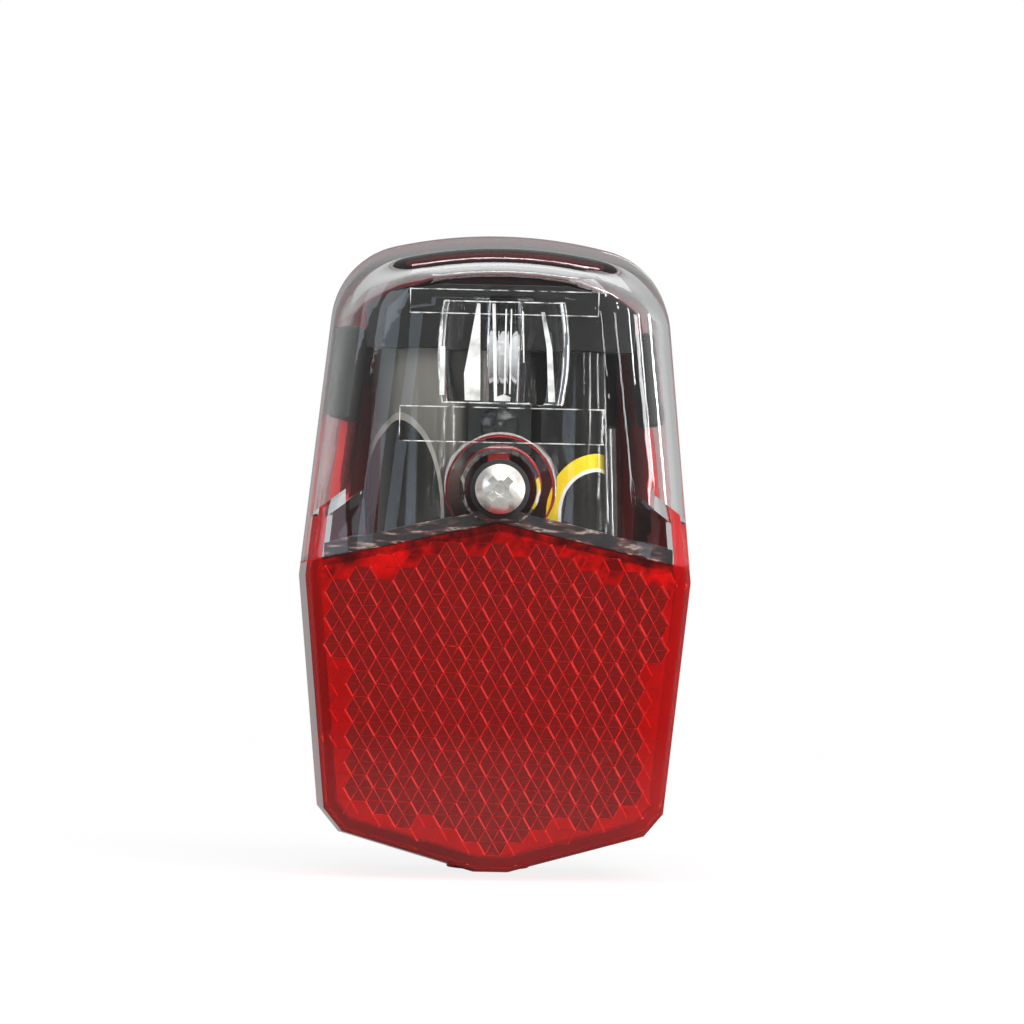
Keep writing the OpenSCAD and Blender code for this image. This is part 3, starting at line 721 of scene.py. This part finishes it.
line_lift = 0.02
pad_line = 0.05
rim_line = 0.06
rim_share = 0.985
rim_depth = 2.3
rim_reach = 0.49
facet_depth = 2.45
facet_reach = 0.47
# Painted highlights: outlines of the white facets inside the lens block.
facets = (
    ((-3.0, 1), (-2.65, 1), (-2.45, -1), (-4.15, -1), (-4.3, -0.45), (-3.7, 0.2)),
    ((4.0, 0.85), (4.4, 0.85), (5.3, 0.1), (5.75, -1), (5.0, -1), (4.7, 0.1)),
    ((-1.35, 1), (-1.0, 1), (-0.6, -1), (-0.95, -1)),
    ((0.1, 0.9), (0.25, 0.9), (0.3, -0.85), (0.1, -0.85)),
    ((0.68, 0.9), (0.83, 0.9), (0.86, -0.85), (0.68, -0.85)),
    ((1.9, 0.85), (2.1, 0.85), (2.3, -0.2), (2.15, -0.2)),
    ((-0.7, -0.92), (0.1, -0.86), (0.9, -0.92), (0.8, -1), (-0.6, -1)),
    ((-7.0, 0.1), (-6.4, 0.1), (-6.4, -0.9), (-6.9, -0.9)),
)
runs = []
for half, low, tall in pads:
    back = front_depth - wall - pad_rise - line_lift
    runs.append(([(x, back + lean_at(z), z) for x, z in box(half, low, low + tall)], pad_line))
right_rim = [(lens_half * (rim_share - lens_barrel * s * s), s) for s in levels]
whole_rim = right_rim + [(-x, s) for x, s in reversed(right_rim)]
rim_points = [(x, lens_back + rim_depth, lamp_height + s * lens_height * rim_reach) for x, s in whole_rim]
runs.append((rim_points, rim_line))
# Painted highlights: white ribbons along the rims of the pads and of the lens block, and white facets in the
# block.
lines_mesh = bmesh.new()
for points, half in runs:
    for start, end in zip(points, points[1:] + points[:1]):
        ribbon(lines_mesh, start, end, half, overrun=half)
for facet in facets:
    points = [
        place(x, lens_back + facet_depth, lamp_height + s * lens_height * facet_reach) for x, s in facet
    ]
    lines_mesh.faces.new([lines_mesh.verts.new(point) for point in points]).material_index = 1
rim_highlight_lines = settled(lines_mesh, "rim_highlight_lines")
thicken(rim_highlight_lines)
# Painted highlight colour for the rim ribbons, in patchy white.
rim_highlight_white, wire = finish("rim_highlight_white", {"Roughness": 0.5})
rim_highlight_cloud = wire.noise(0.9, 3)
feed(rim_highlight_white, "Base Color", wire.blend(rim_highlight_cloud, (0.5, 0.5, 0.47, 1), (1.0, 1.0, 0.96, 1)))
feed(rim_highlight_white, "Alpha", rim_highlight_cloud.ramp(0.38, 0.58))
# Painted highlight colour for the white facets in the lens block.
facet_highlight_white, wire = finish("facet_highlight_white", {"Roughness": 0.3})
facet_highlight_cloud = wire.noise(0.3, 3)
feed(facet_highlight_white, "Base Color", wire.blend(facet_highlight_cloud, (0.75, 0.74, 0.7, 1), (1.0, 1.0, 0.97, 1)))
feed(facet_highlight_white, "Alpha", facet_highlight_cloud.ramp(0.234, 0.547))
rim_highlight_lines.data.materials.append(rim_highlight_white)
rim_highlight_lines.data.materials.append(facet_highlight_white)
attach(rim_highlight_lines, "cover")

# Reflector: a clear red moulding. Its front is smooth, and rows of six-sided corner prisms cover its back.
# It is welded round its rim to the housing, with a thin sheet a little way behind the prisms.

lens_red = (0.76, 0.045, 0.04)
red_lens = clear_finish("red_lens", lens_red, roughness=0.012, refraction=1.5, clearness=0.955)
reflector = refined("reflector", "reflector_lens", red_lens, radius=0, angle=20)
seam_plane = place(0, seam_depth, 0).y
for vertex in reflector.data.vertices:
    if abs(vertex.co.y - seam_plane) < 0.01 * mm:
        vertex.co.y -= seam_play * mm

# Backing: a thin sheet of red plastic that closes off the prisms from the inside of the light.
# It is welded in with the reflector. Above the seam its upper edge is black, with pale and dark spots of
# painted reflection, and just below the seam the red has patches of painted reflection.

deep_sheet = (0.32, 0.016, 0.01, 1)
bright_sheet = (0.62, 0.04, 0.022, 1)
# Painted reflections: dark and bright patches below the seam, and pale and dark spots in the black strip
# above it.
blotch_reflections = ((0.36, (0.06, 0.004, 0.004)), (0.5, (0.4, 0.025, 0.014)), (0.7, (0.9, 0.2, 0.08)))
fleck_reflections = (
    (0.5, (0.004, 0.003, 0.003)),
    (0.6, (0.1, 0.03, 0.028)),
    (0.66, (0.34, 0.3, 0.24)),
    (0.72, (0.02, 0.01, 0.01)),
)
fleck_stretch = (0.35, 1.0, 1.6)
seam_top = (peak_height - mount_height) * mm
strip_edge = seam_top - 0.1 * mm
blotch_start = seam_top - 5 * mm
blotch_full = seam_top - 2 * mm
sheet_red, wire = finish("backing_red", {"IOR": 1.5})
spot = wire.spot()
level = spot.along(2) + wire.math("ABSOLUTE", spot.along(0)) * seam_fall
grain = wire.noise(0.8, 3)
plain = wire.blend(grain, deep_sheet, bright_sheet)
# Painted reflection below the seam.
reflection_blotch = wire.add("ShaderNodeValToRGB", {"stops": blotch_reflections}, {"Fac": wire.noise(0.55)})
sheet = wire.blend(level.ramp(blotch_start, blotch_full), plain, reflection_blotch)
drawn_out = wire.add("ShaderNodeMapping", None, {"Vector": spot, "Scale": fleck_stretch})
reflection_fleck_smear = wire.add("ShaderNodeTexNoise", None, {"Vector": drawn_out, "Scale": 1.1 / mm, "Detail": 2.0})
strip = wire.add("ShaderNodeValToRGB", {"stops": fleck_reflections}, {"Fac": reflection_fleck_smear})
feed(sheet_red, "Base Color", wire.blend(level > strip_edge, sheet, strip))
feed(sheet_red, "Roughness", 0.35 + 0.2 * grain)
refined("reflector_backing", "backing_sheet", sheet_red, radius=0.1 * mm)

# Prism edges: painted highlights. The edges of the prisms are a little blunt and catch the light, and that
# light is painted:
# thin white and pale red ribbons just behind the edges show it as thin bright lines inside the red plastic.

base_half = waist_half - 2.8
base_height = 4.9
base_cut = 1.3
tip_cut = 0.5
field_inset = 2.3
line_slack = 0.2
seam_slack = 1.5
prism_side = 1.65
prism_first = 1.2
prism_tip = 22.1
prism_step = prism_side * math.sqrt(2) / 2
prism_columns = 8
prism_rows = 15
edge_lift = 0.05
level_line = 0.045
falling_line = 0.1
rising_line = 0.065
low_turn = -math.atan2(waist_half - base_half, waist_height - base_height)
vee_turn = math.atan2(base_height + tip_cut, base_half) - math.pi / 2
cut_turn = (low_turn + vee_turn) / 2
body_lines = [(side_slope, side_reach), (-math.pi / 2, 0.0)]
for turn, x, z, off in (
    (low_turn, waist_half, waist_height, 0),
    (cut_turn, base_half, base_height, base_cut),
    (vee_turn, base_half, base_height, 0),
):
    body_lines.append((turn, x * math.cos(turn) + z * math.sin(turn) - off))


def room_at(x, z):
    """How far a point of the reflector lies inside the outline of the body and below the seam."""
    free = [reach - abs(x) * math.cos(turn) - z * math.sin(turn) for turn, reach in body_lines]
    below = peak_height - abs(x) * seam_fall - z
    return min(free + [below * math.cos(math.atan(seam_fall)) + seam_slack])


edge_mesh = bmesh.new()
drawn = set()
for i in range(-prism_columns, prism_columns + 1):
    for j in range(prism_rows):
        tip = (1.5 * prism_side * i, math.sqrt(3) * prism_side * (j + i % 2 / 2) + prism_first)
        if room_at(*tip) < 0:
            continue
        turns = [math.radians(60 * k) for k in range(6)]
        rim = [(tip[0] + prism_side * math.cos(t), tip[1] + prism_side * math.sin(t)) for t in turns]
        edges = [((tip, prism_tip), (rim[k], prism_tip + prism_step)) for k in (0, 2, 4)]
        for k in range(6):
            depths = [prism_tip + prism_step * (1 + n % 2) for n in (k, k + 1)]
            edges.append(((rim[k], depths[0]), (rim[(k + 1) % 6], depths[1])))
        for (start, start_depth), (end, end_depth) in edges:
            key = frozenset((round(x, 1), round(z, 1)) for x, z in (start, end))
            if key in drawn or min(room_at(*start), room_at(*end)) < field_inset - line_slack:
                continue
            drawn.add(key)
            run = Vector((end[0] - start[0], end[1] - start[1])).normalized()
            half = level_line if abs(run.y) < 0.1 else falling_line if run.x * run.y < 0 else rising_line
            start_point = (start[0], start_depth + edge_lift, start[1])
            end_point = (end[0], end_depth + edge_lift, end[1])
            face = ribbon(edge_mesh, start_point, end_point, half)
            face.material_index = int(half != falling_line)
prism_edge_highlights = settled(edge_mesh, "prism_edge_highlights")
thicken(prism_edge_highlights)
# Painted highlights: white ribbons on the falling edges, pale red ones on the others.
for name, dark, light in (
    ("white_edge_highlights", (1.0, 0.8, 0.74, 1), (1.0, 1.0, 0.98, 1)),
    ("red_edge_highlights", (0.22, 0.05, 0.05, 1), (0.6, 0.25, 0.22, 1)),
):
    edge_highlight_finish, wire = finish(name, {"Roughness": 0.6})
    feed(edge_highlight_finish, "Base Color", wire.blend(wire.noise(0.25), dark, light))
    prism_edge_highlights.data.materials.append(edge_highlight_finish)
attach(prism_edge_highlights, "back")

# Cover screw: a pan head self-tapping screw in nickel-plated steel with a cross recess.
# It goes through the floor of the cover's pocket into the housing's boss, over a soft rubber washer.

screw_steel, wire = finish("screw_plate", {"Metallic": 1.0})
dull_steel = (0.72, 0.69, 0.62, 1)
bright_steel = (0.96, 0.94, 0.89, 1)
scuff = wire.noise(1.4, 5)
clouded(screw_steel, scuff, dull_steel, bright_steel, smooth=0.2, spread=0.3)
feed(screw_steel, "Normal", wire.bump(scuff, 0.1 * mm))
refined("cover_screw", "pan_screw", screw_steel, radius=0.12 * mm)
refined("screw_washer", "washer_ring", rubber, radius=0.1 * mm)

# Studio: a pale floor that fades out into a white surround, and soft lamps in front, above and at the sides.
# The surround is white behind the part and mid grey on the camera's side, as in a small room.

low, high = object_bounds()
floor_radius = 0.6
fade_start = 0.12
fade_end = 0.42
floor_glow = 0.85
floor_passed = 0.6
floor_mesh = bmesh.new()
bmesh.ops.create_circle(floor_mesh, cap_ends=True, segments=96, radius=floor_radius)
floor = settled(floor_mesh, "floor")
floor.location = (0, 0, low.z - 0.05 * mm)
floor_white, wire = finish("floor_white", {"Roughness": 0.7})
tree = floor_white.node_tree
away = wire.add("ShaderNodeVectorMath", {"operation": "LENGTH"}, {0: wire.spot()}, out="Value")
seen = wire.add("ShaderNodeLightPath", out="Is Camera Ray")
passed = wire.add("ShaderNodeLightPath", out="Is Transmission Ray")
seen = wire.math("MAXIMUM", seen, passed * floor_passed)
feed(floor_white, "Base Color", wire.blend(seen, (0.3, 0.3, 0.3, 1), (0.86, 0.86, 0.86, 1)))
glow = wire.add("ShaderNodeEmission", None, {"Color": (1, 1, 1, 1), "Strength": 1.0})
lit = Wire(tree, tree.nodes["Principled BSDF"].outputs[0])
pale = wire.add("ShaderNodeMixShader", None, {0: seen * floor_glow, 1: lit, 2: glow})
gone = wire.add("ShaderNodeBsdfTransparent")
ground = wire.add("ShaderNodeMixShader", None, {0: away.ramp(fade_start, fade_end), 1: pale, 2: gone})
tree.links.new(ground.socket, tree.nodes["Material Output"].inputs["Surface"])
floor.data.materials.append(floor_white)

world = bpy.data.worlds.new("studio")
world.use_nodes = True
bpy.context.scene.world = world
wire = Wire(world.node_tree)
way = wire.add("ShaderNodeTexCoord", out="Generated")
across_way = wire.math("ABSOLUTE", way.along(0))
back_way = way.along(1)
up_way = way.along(2)


def ease(value, low, high, top):
    """A smooth rise from 0 at the low value to the top amount at the high value."""
    limits = {"Value": value, "From Min": low, "From Max": high, "To Min": 0.0, "To Max": top}
    return wire.add("ShaderNodeMapRange", {"interpolation_type": "SMOOTHSTEP"}, limits)


room_dark = 0.12
mirrored_share = 0.34
passed_share = 0.42
room_level = room_dark + ease(0 - back_way, 0.1, 0.8, 0.05)
room_level = room_level + ease(up_way, 0.3, 0.95, 0.6) + ease(across_way, 0.8, 0.98, 0.35)
seen = wire.add("ShaderNodeLightPath", out="Is Camera Ray")
mirrored = wire.add("ShaderNodeLightPath", out="Is Glossy Ray")
passed = wire.add("ShaderNodeLightPath", out="Is Transmission Ray")
shown = wire.math("MAXIMUM", mirrored * mirrored_share, passed * passed_share)
shown = wire.math("MAXIMUM", seen, shown * ease(back_way, -0.1, 0.5, 1.0))
level = room_level * (1 - shown) + shown
sky = world.node_tree.nodes["Background"]
world.node_tree.links.new(level.socket, sky.inputs["Strength"])
sky.inputs["Color"].default_value = (1, 1, 1, 1)


def lamp(name, where, size, brightness, colour=(1, 1, 1)):
    """A soft rectangular lamp aimed at the part, of the given size and brightness."""
    data = bpy.data.lights.new(name, "AREA")
    data.shape = "RECTANGLE"
    data.size, data.size_y = size
    data.energy = brightness * math.pi * size[0] * size[1]
    data.color = colour
    made = bpy.data.objects.new(name, data)
    made.location = where
    aim = Vector((0, -0.015, 0)) - Vector(where)
    made.rotation_euler = aim.to_track_quat("-Z", "Y").to_euler()
    bpy.context.scene.collection.objects.link(made)
    return made


lamp("top_lamp", (0.02, -0.24, 0.6), (0.5, 0.07), 16)
lamp("key_lamp", (0.42, -0.42, 0.5), (0.5, 0.35), 5.5)
strip_distance = 0.65
strip_brightness = 40
for number, (degrees, width, low, high) in enumerate(
    (
        (13, 0.012, 0.045, 0.075),
        (27, 0.016, 0.04, 0.08),
        (44, 0.02, 0.02, 0.085),
        (62, 0.02, 0.0, 0.09),
        (84, 0.045, -0.03, 0.12),
    )
):
    bearing = math.radians(degrees)
    where = (strip_distance * math.sin(bearing), -strip_distance * math.cos(bearing), (low + high) / 2)
    lamp(f"right_strip_{number}", where, (width, high - low), strip_brightness)
pale_blue = (0.82, 0.88, 1.0)
sky_blue = (0.7, 0.83, 1.0)
lamp("left_panel", (-0.5, -0.3, 0.18), (0.3, 0.24), 2.6, pale_blue)
lamp("left_window", (-0.18, -0.62, -0.06), (0.26, 0.2), 1.8, sky_blue)
lamp("front_fill", (0.0, -0.7, 0.5), (0.6, 0.25), 3.0)
back_fill = lamp("back_fill", (-0.25, 0.8, 0.45), (0.6, 0.4), 3.0)
back_fill.visible_glossy = False
back_fill.visible_transmission = False

# Camera: a long lens straight in front of the part, a little to its left, as in the photograph.
# It is aimed so that the part stands where it does in the photograph, and as large.

focus = Vector((0, -25.4 * mm, 0))
turn = math.radians(-2.0)
climb = math.radians(-0.2)
roll = math.radians(-1.2)
distance = 420 * mm
pixels_per_mm = 9.13
image_width = 1024
part_at = (500.0, 552.0)
back = Vector((math.sin(turn) * math.cos(climb), -math.cos(turn) * math.cos(climb), math.sin(climb)))
eye = focus + back * distance
level_turn = (-back).to_track_quat("-Z", "Y").to_matrix()
off_x = (image_width / 2 - part_at[0]) / pixels_per_mm * mm
off_z = (part_at[1] - image_width / 2) / pixels_per_mm * mm
target = focus + level_turn @ Vector((off_x, off_z, 0))
camera_data = bpy.data.cameras.new("camera")
camera_data.sensor_width = 36
camera_data.lens = pixels_per_mm * (distance / mm) / image_width * camera_data.sensor_width
camera_data.clip_start = 0.01
camera = bpy.data.objects.new("camera", camera_data)
aim = (target - eye).to_track_quat("-Z", "Y").to_matrix()
camera.matrix_world = Matrix.Translation(eye) @ (aim @ Matrix.Rotation(-roll, 3, "Z")).to_4x4()
bpy.context.scene.collection.objects.link(camera)
bpy.context.scene.camera = camera
bpy.context.scene.view_settings.view_transform = "Standard"
